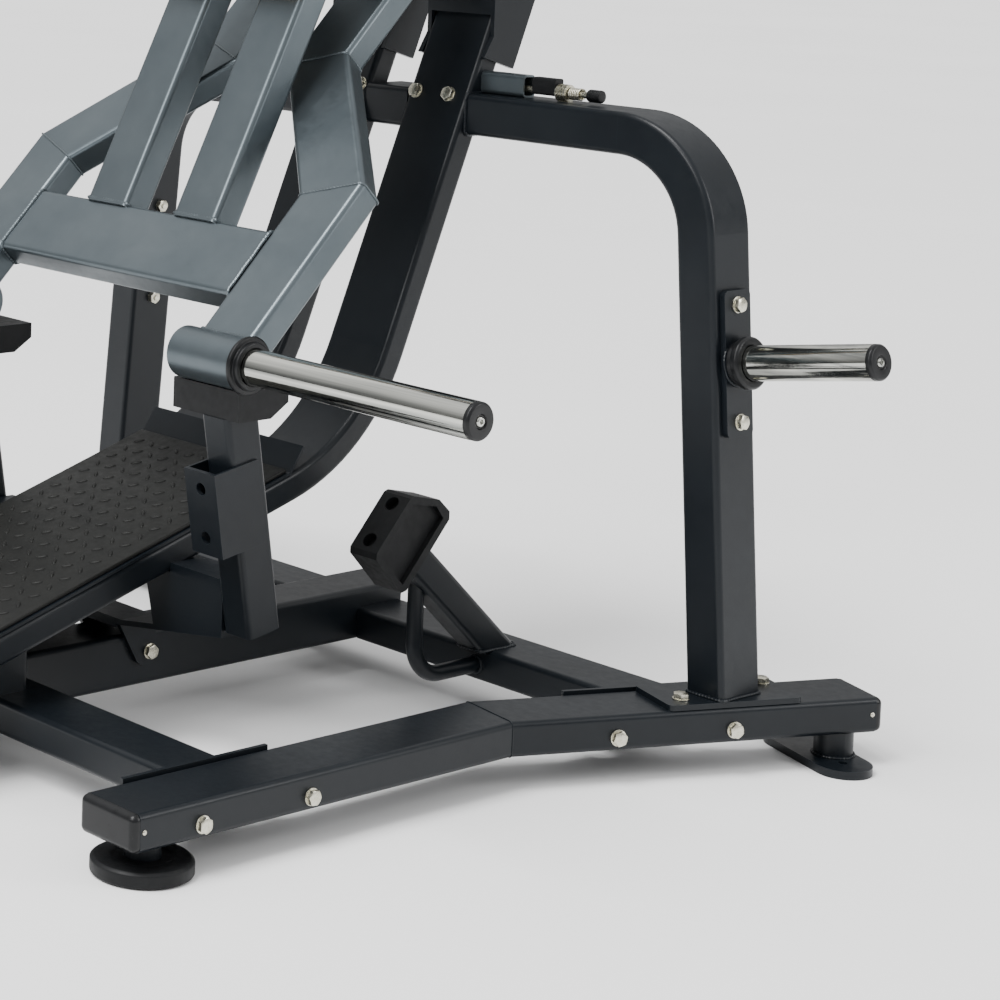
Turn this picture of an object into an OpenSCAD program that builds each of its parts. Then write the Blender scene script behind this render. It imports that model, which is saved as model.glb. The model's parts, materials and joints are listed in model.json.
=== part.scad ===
// Lever squat press: two bent uprights carry a plate-loaded lever arm above an inclined platform.
// X runs across the machine, Y from the open front to the back, Z up. The floor is at Z = 0.

/* [Base frame] */
// Distance from the middle plane to the outer face of a side rail at the front
rail_outer_x = 565; // [520:5:620]
// Width of the rail and cross tubes
rail_w = 104; // [90:2:110]
// Height of the rail and cross tubes
rail_h = 50; // [44:2:56]
// Height of the rails' underside above the floor
rail_z = 48; // [40:2:56]
// Angle that the rear half of each rail turns outward
splay_angle = 21; // [15:1:24]
// Length of the splayed rear half of each rail
rear_len = 577; // [560:1:600]
// Width of the centre rail
centre_w = 90; // [80:2:100]
// Height of the centre rail
centre_h = 80; // [70:2:90]

/* [Side posts] */
// Size of the post tube across the machine
post_w = 62; // [56:2:64]
// Size of the post tube from front to back
post_d = 86; // [80:2:90]
// Angle that each post leans inward towards its top
post_lean = 4.8; // [4:0.2:6]
// Height of the top of the horizontal part
post_top_z = 911; // [890:1:930]
// Inner radius of the bend
post_bend_r = 110; // [90:5:130]

/* [Uprights and platform] */
// Width of the upright tube
upright_w = 120; // [110:2:120]
// Depth of the upright tube
upright_d = 42; // [38:2:46]
// Gap between the two uprights
upright_gap = 87; // [85:1:90]
// Lean of the uprights from vertical
upright_lean = 22.6; // [22:0.2:23.2]
// Slope of the platform
platform_slope = 16.7; // [16:0.1:17.4]
// Bend radius of the uprights' front face
upright_bend_r = 295; // [280:5:310]
// Height of the uprights' top ends
upright_top_z = 1400; // [1380:5:1430]

/* [Lever arm] */
// Width of the lever arm tubes
arm_w = 100; // [94:1:104]
// Thickness of the lever arm's tubes
arm_t = 46; // [42:1:48]
// Lever arm's distance from the pivot to the weight horns
arm_reach = 1002; // [1001:0.5:1003]
// Radius of the weight horns
horn_r = 25; // [24.5:0.1:25.2]
// Distance from the middle plane to the end of a lever arm horn
horn_end_x = 763; // [750:1:780]
// Width of the two back pad bars
bar_w = 88; // [80:2:92]
// Gap between the two back pad bars
bar_gap = 105; // [100:1:112]
// Lean of the back pad bars from vertical
bar_lean = 26.6; // [26:0.2:27.2]

/* [Hidden] */
$fn = 64;
tube_wall = 3;
corner_r = 8;
bolt_r = 5;
bolt_gap = 0.4;
bolt_across = 19;
bolt_head_t = 7;
bolt_nut_t = 9;
bolt_washer_r = 11.8;
bolt_washer_t = 1.6;
small_r = 4;
weld_lap = 0.05;
weld_gap = 0.02;
plate_t = 8;
big = 3000;
frame_color = [0.09, 0.10, 0.12];
arm_color = [0.45, 0.47, 0.49];
steel_color = [0.78, 0.77, 0.72];
chrome_color = [0.85, 0.85, 0.83];
rubber_color = [0.05, 0.05, 0.05];
mat_color = [0.10, 0.09, 0.08];
pad_color = [0.07, 0.07, 0.08];
wood_color = [0.40, 0.30, 0.20];

// Base frame
rail_front_y = -570;
kink_y = 110;
rail_top_z = rail_z + rail_h;
rail_mid_z = rail_z + rail_h / 2;
cap_t = 12;
cap_plug = 24;
front_cross_y = -373;
rear_cross_y = 389;
cross_w = 100;
centre_end_y = 436;
flange_t = 6;
flange_len = 250;
flange_h = rail_h + 8;
rail_bolts_y = [-456, -269];
rail_bolts_along = [160, 340];
bolt_z = 67;
foot_x = rail_outer_x - rail_w / 2;
foot_r = 66;
foot_t = 22;
foot_y = -508;
foot_stem_r = 24;
foot_stem_lip = 32;
rear_foot_along = 508;
rear_plate_t = 12;
rear_plate_r = 40;
rear_hole_r = 6.5;
rear_hole_x = 62;
rear_tube_r = 27;
rear_tube_side = 20;
rear_tube_along = 12;

// Side posts
post_y = 409;
post_mid_y = post_y + post_d / 2;
post_foot_x = 678;
post_foot_ref = 100;
post_plate_t = 8;
post_foot_z = rail_top_z + post_plate_t;
post_under_z = post_top_z - post_w;
post_corner_x = post_foot_x - post_w / cos(post_lean) - tan(post_lean) * (post_under_z - post_foot_ref);
post_arc_x = post_corner_x + post_bend_r * (tan(post_lean) - 1 / cos(post_lean));
post_arc_z = post_under_z - post_bend_r;
post_plate_w = 98;
post_plate_len = 208;
post_plate_along = 344;
post_bolts = [[22, 272], [-24, 427]];
storage_z = 574;
storage_plate_w = 56;
storage_plate_len = 205;
storage_bolt = 82;
storage_tilt = 5;
storage_len = 236;
storage_hub_r = 30;
storage_hub_t = 12;
storage_collar_r = 37;
storage_collar_t = 12;

// Uprights: the front face passes through (up_y, up_z) and the platform's face through (deck_y, deck_z)
up_y = 403;
up_z = 883;
up_x0 = upright_gap / 2;
up_mid_x = up_x0 + upright_w / 2;
up_x1 = up_x0 + upright_w;
deck_y = 23;
deck_z = 351;
tan_up = tan(upright_lean);
tan_deck = tan(platform_slope);
corner_y = ((up_z - up_y / tan_up) - (deck_z - deck_y * tan_deck)) / (tan_deck - 1 / tan_up);
corner_z = deck_z + (corner_y - deck_y) * tan_deck;
bend_turn = 90 - upright_lean - platform_slope;
bend_tangent = upright_bend_r * tan(bend_turn / 2);
bend_y = corner_y - bend_tangent * cos(platform_slope) - upright_bend_r * sin(platform_slope);
bend_z = corner_z - bend_tangent * sin(platform_slope) + upright_bend_r * cos(platform_slope);
deck_front_y = -685;
deck_len = (corner_y - deck_front_y) / cos(platform_slope) - bend_tangent;
upright_len = (upright_top_z - corner_z) / cos(upright_lean) - bend_tangent;
deck_end_y = corner_y - bend_tangent * cos(platform_slope);
deck_end_z = corner_z - bend_tangent * sin(platform_slope);
deck_plate_t = 4;
mat_t = 6;
mat_side = 4;
lip_len = 46;
lip_angle = 38;
up_cap_t = 5;
tie_bolts_x = [59.5, 126.5];
tie_bolt_z = 907;

// Platform supports and front bumper posts
under_y = -130;
under_d = 60;
under_z = 150;
under_out_z = 184;
under_top_z = 266;
under_flat_x = 60;
under_in_x = 130;
under_in_top_x = 112;
saddle_t = 8;
saddle_stack = centre_w + 2 * saddle_t;
saddle_back_y = -156;
saddle_front_y = -85;
saddle_low_z = 81;
saddle_bolt_y = -96;
saddle_bolt_z = 100;
riser_w = 50;
riser_d = 60;
riser_x = 73;
riser_y = -390;
bump_x0 = 272;
bump_w = 53;
bump_mid_x = bump_x0 + bump_w / 2;
bump_d = 60;
bump_lean = 10;
bump_foot_y = -127;
bump_foot_z = 198;
bumper_z = 505;
socket_r = 36;
rest_gap = 0.4;
bumper_x0 = 214;
bumper_x1 = 345;
bumper_y0 = -210;
bumper_y1 = -118;
hole_r = 9;

// Rear stop
stop_x = 290;
stop_w = 50;
stop_angle = 48;
stop_foot_y = 399;
stop_foot_z = 98;
stop_len = 258;
block_w = 52;
block_t = 89;
rod_r = 12;

// Lever arm: the pivot, and distances from it down the arm
pivot_y = 508;
pivot_z = 1292;
plane_angle = 45;
arm_out_x = 302;
arm_in_x = 103;
knee_low = 709;
knee_high = 481;
knee_turn = atan((arm_out_x - arm_in_x) / (knee_low - knee_high));
cross_mid = 853;
cross_tube_w = 116;
socket_x0 = 227;
socket_x1 = 348;
collar_r = 40;
collar_t = 7;
collar_step_r = 33;
collar_step_t = 8;
horn_x0 = 240;
shank_r = horn_r - 1;
cap_r = horn_r - 0.3;
horn_wall = 5;
cap_len = 8;
shaft_r = 15;
run_gap = 0.05;
hub_r = 38;
hub_bore = 24;
hub_gap = 3;
vent_r = 4;
ear_t = 8;
ear_top_z = 1345;
ear_front_y = 457;
cover_top_z = 1130;

// Back pad, shoulder pads and handles, measured up the pad bars
bar_t = 50;
bar_foot_y = -76;
bar_lap = 6;
bar_foot_z = 748;
bar_len = 850;
bar_mid_x = bar_gap / 2 + bar_w / 2;
brace_along = 450;
board_w = 300;
board_t = 15;
board_from = 350;
board_to = 700;
pad_w = 310;
pad_t = 62;
pad_gap = 0.3;
shoulder_x = 125;
shoulder_w = 110;
shoulder_t = 70;
shoulder_len = 240;
shoulder_from = 735;
boom_w = 50;
boom_h = 30;
boom_len = 260;
handle_r = 14;
handle_out = 30;
grip_r = 17;
grip_len = 120;

// Spring pin on the right post
pin_y = 455;
pin_z = 924;
pin_r = 5;
housing_x0 = 163.5;
housing_len = 83;
housing_w = 26;
housing_h = 34;
pin_block_x = 260;
pin_block_len = 44;
pin_block_d = 18;
pin_block_h = 26;
guide_x = 306;
guide_t = 20;
guide_r = 13;
knob_x = 361;
knob_len = 24;
knob_r = 9.5;
spring_end_x = 349;
spring_turns = 5;

// Outline of a tube with round corners
module round_rect(w, h, r) {
    square([w - 2 * r, h], center = true);
    square([w, h - 2 * r], center = true);
    for (x = [-1, 1], y = [-1, 1])
        translate([x * (w / 2 - r), y * (h / 2 - r)]) circle(r);
}

// Cross-section of a tube
module tube_outline(w, h, r = corner_r, wall = tube_wall) {
    difference() {
        round_rect(w, h, r);
        round_rect(w - 2 * wall, h - 2 * wall, r - wall);
    }
}

// Straight tube along +Z
module tube(len, w, h, r = corner_r, wall = tube_wall) {
    linear_extrude(len) tube_outline(w, h, r, wall);
}

// Plate with round corners, lying in XY with its underside at Z = 0
module plate(w, h, t, r) {
    linear_extrude(t) round_rect(w, h, r);
}

// Copies a right-hand shape to the left
module both() {
    children();
    mirror([1, 0, 0]) children();
}

// Hex bolt through a stack: its washer at Z = 0, its head up, and a nut under the stack
module hex_bolt(stack) {
    cylinder(r = bolt_washer_r, h = bolt_washer_t);
    translate([0, 0, bolt_washer_t]) cylinder(d = bolt_across / cos(30), h = bolt_head_t, $fn = 6);
    translate([0, 0, -stack - bolt_nut_t]) cylinder(r = bolt_r, h = stack + bolt_nut_t);
    translate([0, 0, -stack - bolt_nut_t]) cylinder(d = bolt_across / cos(30), h = bolt_nut_t, $fn = 6);
}

// Hole for that bolt
module bolt_hole(stack) {
    translate([0, 0, -stack - 1]) cylinder(r = bolt_r + bolt_gap, h = stack + 2);
}

// Bolt into a tapped plate, with no nut
module short_bolt(stack) {
    cylinder(r = bolt_washer_r, h = bolt_washer_t);
    translate([0, 0, bolt_washer_t]) cylinder(d = bolt_across / cos(30), h = bolt_head_t, $fn = 6);
    translate([0, 0, -stack]) cylinder(r = bolt_r, h = stack);
}

// The places of the bolts through a rail, with Z out of its outer face
module at_rail_bolts() {
    for (y = rail_bolts_y)
        translate([rail_outer_x, y, bolt_z]) rotate([0, 90, 0]) children();
    for (a = rail_bolts_along)
        splay_frame() translate([0, a, bolt_z]) rotate([0, 90, 0]) children();
}

// The place of the bolt through the platform's saddle and the centre rail
module at_saddle_bolt() {
    translate([saddle_stack / 2, saddle_bolt_y, saddle_bolt_z]) rotate([0, 90, 0]) children();
}

// The places of the bolts in a post's base plate
module at_base_bolts() {
    splay_frame() for (place = post_bolts)
        translate([place[0] - rail_w / 2, place[1], post_foot_z]) children();
}

// The places of the bolts through a storage horn's plate and the post
module at_storage_bolts() {
    leg_frame() for (z = [-storage_bolt, storage_bolt])
        translate([plate_t, 0, z]) rotate([0, 90, 0]) children();
}

// The places of the bolts through the front face of an upright
module at_tie_bolts() {
    face_y = up_y + (tie_bolt_z - up_z) * tan_up;
    for (x = tie_bolts_x)
        translate([x, face_y, tie_bolt_z]) rotate([90 - upright_lean, 0, 0]) children();
}

// Tube lying in XY from p to q, with its ends cut for a turn of the line at either end
module mitred(p, q, turn_p, turn_q, w, h, lap = 0) {
    len = norm(q - p);
    ext = w;
    from = turn_p == 0 ? 0 : -lap;
    to = turn_q == 0 ? len : len + lap;
    translate(p) rotate([0, 0, atan2(q[1] - p[1], q[0] - p[0]) - 90]) intersection() {
        translate([0, -ext, 0]) rotate([-90, 0, 0]) tube(len + 2 * ext, w, h);
        translate([0, 0, -h]) linear_extrude(2 * h) polygon([
            [-w, from + w * tan(turn_p / 2)], [w, from - w * tan(turn_p / 2)],
            [w, to + w * tan(turn_q / 2)], [-w, to - w * tan(turn_q / 2)]
        ]);
    }
}

// Frame of a splayed rear rail: Y runs along it and X = 0 is its outer face
module splay_frame() {
    translate([rail_outer_x, kink_y, 0]) rotate([0, 0, -splay_angle]) children();
}

// Frame of the platform: X across, Y up the slope from the bend's start, Z square to it
module deck_frame() {
    translate([0, deck_end_y, deck_end_z]) rotate([platform_slope, 0, 0]) children();
}

// Everything under the platform tubes
module below_deck() {
    deck_frame() translate([-big / 2, -big, -big - upright_d]) cube([big, 2 * big, big]);
}

// Frame of the lever arm: Y runs up to the pivot at the origin, Z square to the arm's face
module arm_frame() {
    translate([0, pivot_y, pivot_z]) rotate([plane_angle, 0, 0]) children();
}

// Frame of the pad bars: Z runs up them and Y = 0 is their front face
module bar_frame() {
    translate([0, bar_foot_y, bar_foot_z]) rotate([-bar_lean, 0, 0]) children();
}

// Frame of the right post's leg: Z runs up it and X = 0 is its outer face, at the horn's height
module leg_frame() {
    x = post_foot_x - tan(post_lean) * (storage_z - post_foot_ref);
    translate([x, post_mid_y, storage_z]) rotate([0, -post_lean, 0]) children();
}

// Frame of a bumper post: Z runs up its middle
module bump_frame() {
    translate([bump_mid_x, bump_foot_y, bump_foot_z]) rotate([bump_lean, 0, 0]) children();
}

module rail() {
    rail_stack = rail_w + flange_t;
    mid_kink = [rail_outer_x - rail_w / 2, kink_y + rail_w / 2 * tan(splay_angle / 2)];
    mid_end = mid_kink + (rear_len + rail_w / 2 * tan(splay_angle / 2) - cap_t)
        * [sin(splay_angle), cos(splay_angle)];
    difference() {
        translate([0, 0, rail_mid_z]) {
            mitred([mid_kink[0], rail_front_y + cap_t], mid_kink, 0, -splay_angle, rail_w, rail_h);
            mitred(mid_kink, mid_end, -splay_angle, 0, rail_w, rail_h);
        }
        at_rail_bolts() bolt_hole(rail_stack);
        at_base_bolts() bolt_hole(2 * post_plate_t);
    }
}

module side_rail_right() {
    color(frame_color) rail();
}

module side_rail_left() {
    color(frame_color) mirror([1, 0, 0]) rail();
}

module front_cross_tube() {
    inner_x = rail_outer_x - rail_w;
    color(frame_color) difference() {
        union() {
            translate([-inner_x + flange_t, front_cross_y, rail_mid_z]) rotate([0, 90, 0])
                tube(2 * (inner_x - flange_t), rail_h, cross_w);
            both()
                translate([inner_x - flange_t, front_cross_y - flange_len / 2, rail_mid_z - flange_h / 2])
                cube([flange_t, flange_len, flange_h]);
        }
        both() at_rail_bolts() bolt_hole(rail_w + flange_t);
    }
}

module rear_cross() {
    side = rail_w + flange_t;
    along = (rear_cross_y - kink_y - side * sin(splay_angle)) / cos(splay_angle);
    intersection() {
        translate([centre_w / 2, rear_cross_y, rail_mid_z]) rotate([0, 90, 0])
            tube(rail_outer_x, rail_h, cross_w);
        splay_frame() translate([-side - big, -big / 2, 0]) cube([big, big, big]);
    }
    difference() {
        splay_frame() translate([-side, along - flange_len / 2, rail_mid_z - flange_h / 2])
            cube([flange_t, flange_len, flange_h]);
        at_rail_bolts() bolt_hole(side);
    }
}

module rear_cross_right() {
    color(frame_color) rear_cross();
}

module rear_cross_left() {
    color(frame_color) mirror([1, 0, 0]) rear_cross();
}

module centre_rail() {
    front = front_cross_y + cross_w / 2;
    color(frame_color) difference() {
        translate([0, front, rail_z + centre_h / 2]) rotate([-90, 0, 0])
            tube(centre_end_y - front, centre_w, centre_h);
        at_saddle_bolt() bolt_hole(saddle_stack);
    }
}

// Closed end of a rail tube, with its plug on the +Y side
module rail_cap() {
    rotate([-90, 0, 0]) {
        plate(rail_w, rail_h, cap_t, corner_r);
        translate([0, 0, cap_t])
            plate(rail_w - 2 * tube_wall, rail_h - 2 * tube_wall, cap_plug, corner_r - tube_wall);
    }
}

module rail_end_caps() {
    color(rubber_color) both() {
        translate([rail_outer_x - rail_w / 2, rail_front_y, rail_mid_z]) rail_cap();
        splay_frame() translate([-rail_w / 2, rear_len, rail_mid_z]) rotate([0, 0, 180]) rail_cap();
    }
}

module rail_bolts() {
    color(steel_color) {
        both() at_rail_bolts() hex_bolt(rail_w + flange_t);
        at_saddle_bolt() hex_bolt(saddle_stack);
    }
}

module front_feet() {
    color(rubber_color) both() translate([foot_x, foot_y, 0]) {
        cylinder(r1 = foot_r - small_r, r2 = foot_r, h = small_r);
        translate([0, 0, small_r]) cylinder(r = foot_r, h = foot_t - 2 * small_r);
        translate([0, 0, foot_t - small_r]) cylinder(r1 = foot_r, r2 = foot_r - small_r, h = small_r);
    }
}

module front_foot_stems() {
    lip_t = small_r;
    color(frame_color) both() translate([foot_x, foot_y, foot_t]) {
        cylinder(r = foot_stem_r, h = rail_z - foot_t);
        translate([0, 0, rail_z - foot_t - lip_t]) cylinder(r = foot_stem_lip, h = lip_t);
    }
}

module rear_feet() {
    color(frame_color) both() splay_frame() translate([-rail_w / 2, rear_foot_along, 0]) {
        difference() {
            linear_extrude(rear_plate_t) {
                for (x = [-rear_hole_x, rear_hole_x])
                    translate([x, 0]) circle(rear_plate_r);
                square([2 * rear_hole_x, 2 * rear_plate_r], center = true);
            }
            for (x = [-rear_hole_x, rear_hole_x])
                translate([x, 0, -1]) cylinder(r = rear_hole_r, h = rear_plate_t + 2);
        }
        translate([rear_tube_side, rear_tube_along, rear_plate_t])
            cylinder(r = rear_tube_r, h = rail_z - rear_plate_t);
    }
}

module side_post() {
    leg_len = (post_arc_z - post_foot_z) / cos(post_lean) + post_w;
    difference() {
        translate([post_arc_x, post_mid_y, post_arc_z]) {
            rotate([0, -post_lean, 0]) translate([post_bend_r + post_w / 2, 0, -leg_len])
                tube(leg_len, post_w, post_d);
            rotate([90, 0, 0]) rotate([0, 0, post_lean]) rotate_extrude(angle = 90 - post_lean)
                translate([post_bend_r + post_w / 2, 0]) tube_outline(post_w, post_d);
            translate([up_x1 - post_arc_x, 0, post_bend_r + post_w / 2]) rotate([0, 90, 0])
                tube(post_arc_x - up_x1, post_w, post_d);
        }
        translate([0, 0, post_foot_z - big]) cube([big, big, big]);
        at_storage_bolts() bolt_hole(post_w + plate_t);
    }
    difference() {
        splay_frame() translate([-rail_w / 2, post_plate_along, rail_top_z])
            plate(post_plate_w, post_plate_len, post_plate_t, corner_r);
        at_base_bolts() bolt_hole(post_plate_t);
    }
}

module side_post_right() {
    color(frame_color) side_post();
}

module side_post_left() {
    color(frame_color) mirror([1, 0, 0]) side_post();
}

module post_bolts() {
    color(steel_color) both() {
        at_base_bolts() short_bolt(2 * post_plate_t);
        at_storage_bolts() hex_bolt(post_w + plate_t);
    }
}

module upright() {
    mid_r = upright_bend_r + upright_d / 2;
    translate([up_mid_x, bend_y, bend_z]) rotate([90, 0, 90]) rotate([0, 0, platform_slope - 90]) {
        rotate_extrude(angle = bend_turn) translate([mid_r, 0]) tube_outline(upright_d, upright_w);
        translate([mid_r, -weld_gap, 0]) rotate([90, 0, 0]) tube(deck_len, upright_d, upright_w);
    }
    difference() {
        translate([up_mid_x, bend_y, bend_z]) rotate([90, 0, 90]) rotate([0, 0, -upright_lean])
            translate([mid_r, weld_gap, 0]) rotate([-90, 0, 0]) tube(upright_len, upright_d, upright_w);
        at_tie_bolts() bolt_hole(upright_d);
    }
}

module upright_right() {
    color(frame_color) upright();
}

module upright_left() {
    color(frame_color) mirror([1, 0, 0]) upright();
}

module upper_tie() {
    color(frame_color) translate([-up_x0, post_mid_y, post_top_z - post_w / 2]) rotate([0, 90, 0])
        tube(2 * up_x0, post_w, post_d);
}

module upright_bolts() {
    color(steel_color) both() at_tie_bolts() hex_bolt(upright_d);
}

module upright_top_caps() {
    color(rubber_color) both() translate([up_mid_x, bend_y, bend_z]) rotate([90, 0, 90])
        rotate([0, 0, -upright_lean])
            translate([upright_bend_r + upright_d / 2, upright_len + weld_gap, 0])
            rotate([-90, 0, 0]) plate(upright_d, upright_w, up_cap_t, corner_r);
}

module deck_plate() {
    run = lip_len * cos(lip_angle);
    rise = lip_len * sin(lip_angle);
    color(frame_color) deck_frame() rotate([90, 0, 90]) translate([0, 0, -up_x1])
        linear_extrude(2 * up_x1)
        polygon([
            [-deck_len, 0], [0, 0], [run, rise],
            [run - deck_plate_t * sin(lip_angle), rise + deck_plate_t * cos(lip_angle)],
            [-deck_plate_t * tan(lip_angle / 2), deck_plate_t], [-deck_len, deck_plate_t]
        ]);
}

module tread_mat() {
    color(mat_color) deck_frame() translate([mat_side - up_x1, mat_side - deck_len, deck_plate_t])
        cube([2 * (up_x1 - mat_side), deck_len - 2 * mat_side, mat_t]);
}

module platform_cross_tube() {
    end_x = bump_x0;
    strap_rise = (under_out_z - under_z) / (end_x - under_flat_x);
    in_z = under_z + plate_t + (under_in_x - under_flat_x) * strap_rise;
    in_top_z = under_out_z + rail_h;
    color(frame_color) intersection() {
        translate([0, under_y + under_d / 2, 0]) rotate([90, 0, 0])
            linear_extrude(under_d) difference() {
            polygon([
                [-under_flat_x, under_z], [under_flat_x, under_z], [end_x, under_out_z],
                [end_x, under_top_z], [-end_x, under_top_z], [-end_x, under_out_z]
            ]);
            polygon([
                [-under_flat_x, under_z + plate_t], [under_flat_x, under_z + plate_t],
                [under_in_x, in_z], [under_in_top_x, in_top_z], [-under_in_top_x, in_top_z],
                [-under_in_x, in_z]
            ]);
        }
        union() {
            below_deck();
            both() translate([up_x1, -big / 2, 0]) cube([big, big, big]);
        }
    }
}

module platform_saddle() {
    slant = 36;
    nick = 6;
    nose = 26;
    side = [
        [saddle_back_y, under_z], [saddle_back_y + slant, saddle_low_z + nick],
        [saddle_front_y - nose, saddle_low_z], [saddle_front_y - nick, saddle_low_z],
        [saddle_front_y, saddle_low_z + nick], [saddle_front_y, under_z]
    ];
    color(frame_color) difference() {
        union() {
            both() translate([centre_w / 2, 0, 0]) rotate([90, 0, 90])
                linear_extrude(saddle_t) polygon(side);
            translate([-centre_w / 2, saddle_back_y, under_z - saddle_t])
                cube([centre_w, saddle_front_y - saddle_back_y, saddle_t]);
        }
        at_saddle_bolt() bolt_hole(saddle_stack);
    }
}

module platform_risers() {
    color(frame_color) both() intersection() {
        translate([riser_x, riser_y, rail_top_z]) tube(big / 2, riser_w, riser_d);
        below_deck();
    }
}

module bumper_post() {
    difference() {
        bump_frame() tube(big / 4, bump_w, bump_d);
        translate([0, -big / 2, bumper_z]) cube([big, big, big]);
    }
}

module bumper_post_right() {
    color(frame_color) bumper_post();
}

module bumper_post_left() {
    color(frame_color) mirror([1, 0, 0]) bumper_post();
}

module bumper_brackets() {
    side_t = 4;
    from_z = 130;
    len = 120;
    front_y = -bump_d / 2 - 36;
    back_y = 14;
    front_t = 6;
    hole_z = [25, 95];
    color(frame_color) both() bump_frame() difference() {
        translate([-bump_w / 2 - side_t, front_y, from_z])
            cube([bump_w + 2 * side_t, back_y - front_y, len]);
        translate([-bump_w / 2, front_y + front_t, from_z - 1])
            cube([bump_w, big, len + 2]);
        for (z = hole_z)
            translate([0, front_y - 1, from_z + z]) rotate([-90, 0, 0])
                cylinder(r = hole_r, h = front_t + 2);
    }
}

module bumper_rubbers() {
    top_z = pivot_z - arm_reach * sin(plane_angle) - socket_r - rest_gap;
    chamfer_y = 32;
    chamfer_z = 20;
    outline = [
        [bumper_y0, bumper_z], [bumper_y1 - chamfer_y, bumper_z], [bumper_y1, bumper_z + chamfer_z],
        [bumper_y1, top_z], [bumper_y0, top_z]
    ];
    color(rubber_color) both() translate([bumper_x0, 0, 0]) rotate([90, 0, 90])
        linear_extrude(bumper_x1 - bumper_x0) polygon(outline);
}

// Frame of the rear stop: Z runs up its tube and Y = 0 is the tube's rear face
module stop_frame() {
    translate([stop_x, stop_foot_y, stop_foot_z]) rotate([stop_angle, 0, 0]) children();
}

module rear_stop_tube() {
    color(frame_color) intersection() {
        stop_frame() translate([0, -stop_w / 2, -stop_w]) tube(stop_len + stop_w, stop_w, stop_w);
        translate([0, -big / 2, stop_foot_z]) cube([big, big, big]);
    }
}

module rear_stop_block() {
    block_hole_r = 11;
    hole_y = [-52, 12];
    depth = 14;
    recess = 8;
    outline = [
        [-82, 6], [-74, 0], [52, 0], [61, 8], [61, 38],
        [34, block_t - 4], [27, block_t], [-70, block_t], [-77, block_t - 6]
    ];
    pocket = [[-72, 12], [46, 12], [50, 36], [24, block_t - 11], [-68, block_t - 11]];
    color(rubber_color) stop_frame() difference() {
        translate([0, 0, stop_len]) rotate([90, 0, 90]) translate([0, 0, -block_w / 2])
            linear_extrude(block_w) polygon(outline);
        for (y = hole_y)
            translate([0, y, stop_len + block_t - depth]) cylinder(r = block_hole_r, h = depth + 1);
        both() translate([block_w / 2 - recess, 0, stop_len]) rotate([90, 0, 90])
            linear_extrude(recess + 1) polygon(pocket);
    }
}

module rear_stop_rod() {
    bend = 52;
    run_z = 72;
    top_y = 206;
    cross_face = rear_cross_y - cross_w / 2;
    color(frame_color) difference() {
        translate([stop_x, top_y + bend, run_z + bend]) rotate([90, 0, 90]) {
            rotate([0, 0, 180]) rotate_extrude(angle = 90) translate([bend, 0]) circle(rod_r);
            translate([-bend, 0, 0]) rotate([-90, 0, 0]) cylinder(r = rod_r, h = 3 * bend);
            translate([0, -bend, 0]) rotate([0, 90, 0])
                cylinder(r = rod_r, h = cross_face - top_y - bend);
        }
        stop_frame() translate([-big / 2, -stop_w, -big / 2]) cube([big, big, big]);
    }
}

module storage_plates() {
    color(frame_color) both() difference() {
        leg_frame() rotate([0, 90, 0]) plate(storage_plate_len, storage_plate_w, plate_t, corner_r);
        at_storage_bolts() bolt_hole(plate_t);
    }
}

// Frame of a storage horn: Z runs out along it from the plate's face
module storage_frame() {
    leg_frame() translate([plate_t, 0, 0]) rotate([0, 90 - storage_tilt, 0]) children();
}

// Everything outside the storage plate's face
module outside_plate() {
    leg_frame() translate([plate_t, -big / 2, -big / 2]) cube([big, big, big]);
}

// Sleeve of a horn: Z runs outward, its collar ends at Z = 0 and its thinner shank runs back from there
module horn_sleeve(len, shank_len) {
    difference() {
        union() {
            cylinder(r = horn_r, h = len);
            translate([0, 0, -shank_len]) cylinder(r = shank_r, h = shank_len);
        }
        translate([0, 0, -shank_len - 1]) cylinder(r = horn_r - horn_wall, h = big);
    }
}

module storage_horns() {
    from = storage_hub_t + storage_collar_t;
    color(chrome_color) both() intersection() {
        storage_frame()
            translate([0, 0, from]) horn_sleeve(storage_len - plate_t - cap_len - from, 2 * from);
        outside_plate();
    }
}

module storage_collars() {
    color(rubber_color) both() intersection() {
        storage_frame() difference() {
            union() {
                translate([0, 0, -storage_hub_t]) cylinder(r = storage_hub_r, h = 2 * storage_hub_t);
                translate([0, 0, storage_hub_t]) cylinder(r = storage_collar_r, h = storage_collar_t);
            }
            translate([0, 0, -storage_hub_t - 1]) cylinder(r = shank_r, h = big);
        }
        outside_plate();
    }
}

// End cap of a horn: Z runs outward and the sleeve ends at Z = 0
module horn_cap() {
    plug = 16;
    recess_r = 8;
    recess = 3;
    screw_r = 6;
    difference() {
        union() {
            cylinder(r = cap_r, h = cap_len - small_r / 2);
            translate([0, 0, cap_len - small_r / 2])
                cylinder(r1 = cap_r, r2 = cap_r - small_r / 2, h = small_r / 2);
            translate([0, 0, -plug]) cylinder(r = horn_r - horn_wall, h = plug);
        }
        translate([0, 0, cap_len - recess]) cylinder(r = recess_r, h = recess + 1);
    }
    translate([0, 0, cap_len - recess]) difference() {
        cylinder(r = screw_r, h = recess);
        translate([0, 0, recess / 3]) cylinder(r = screw_r / 2, h = recess, $fn = 6);
    }
}

module horn_end_caps() {
    color(rubber_color) both() storage_frame()
        translate([0, 0, storage_len - plate_t - cap_len]) horn_cap();
}

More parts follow.
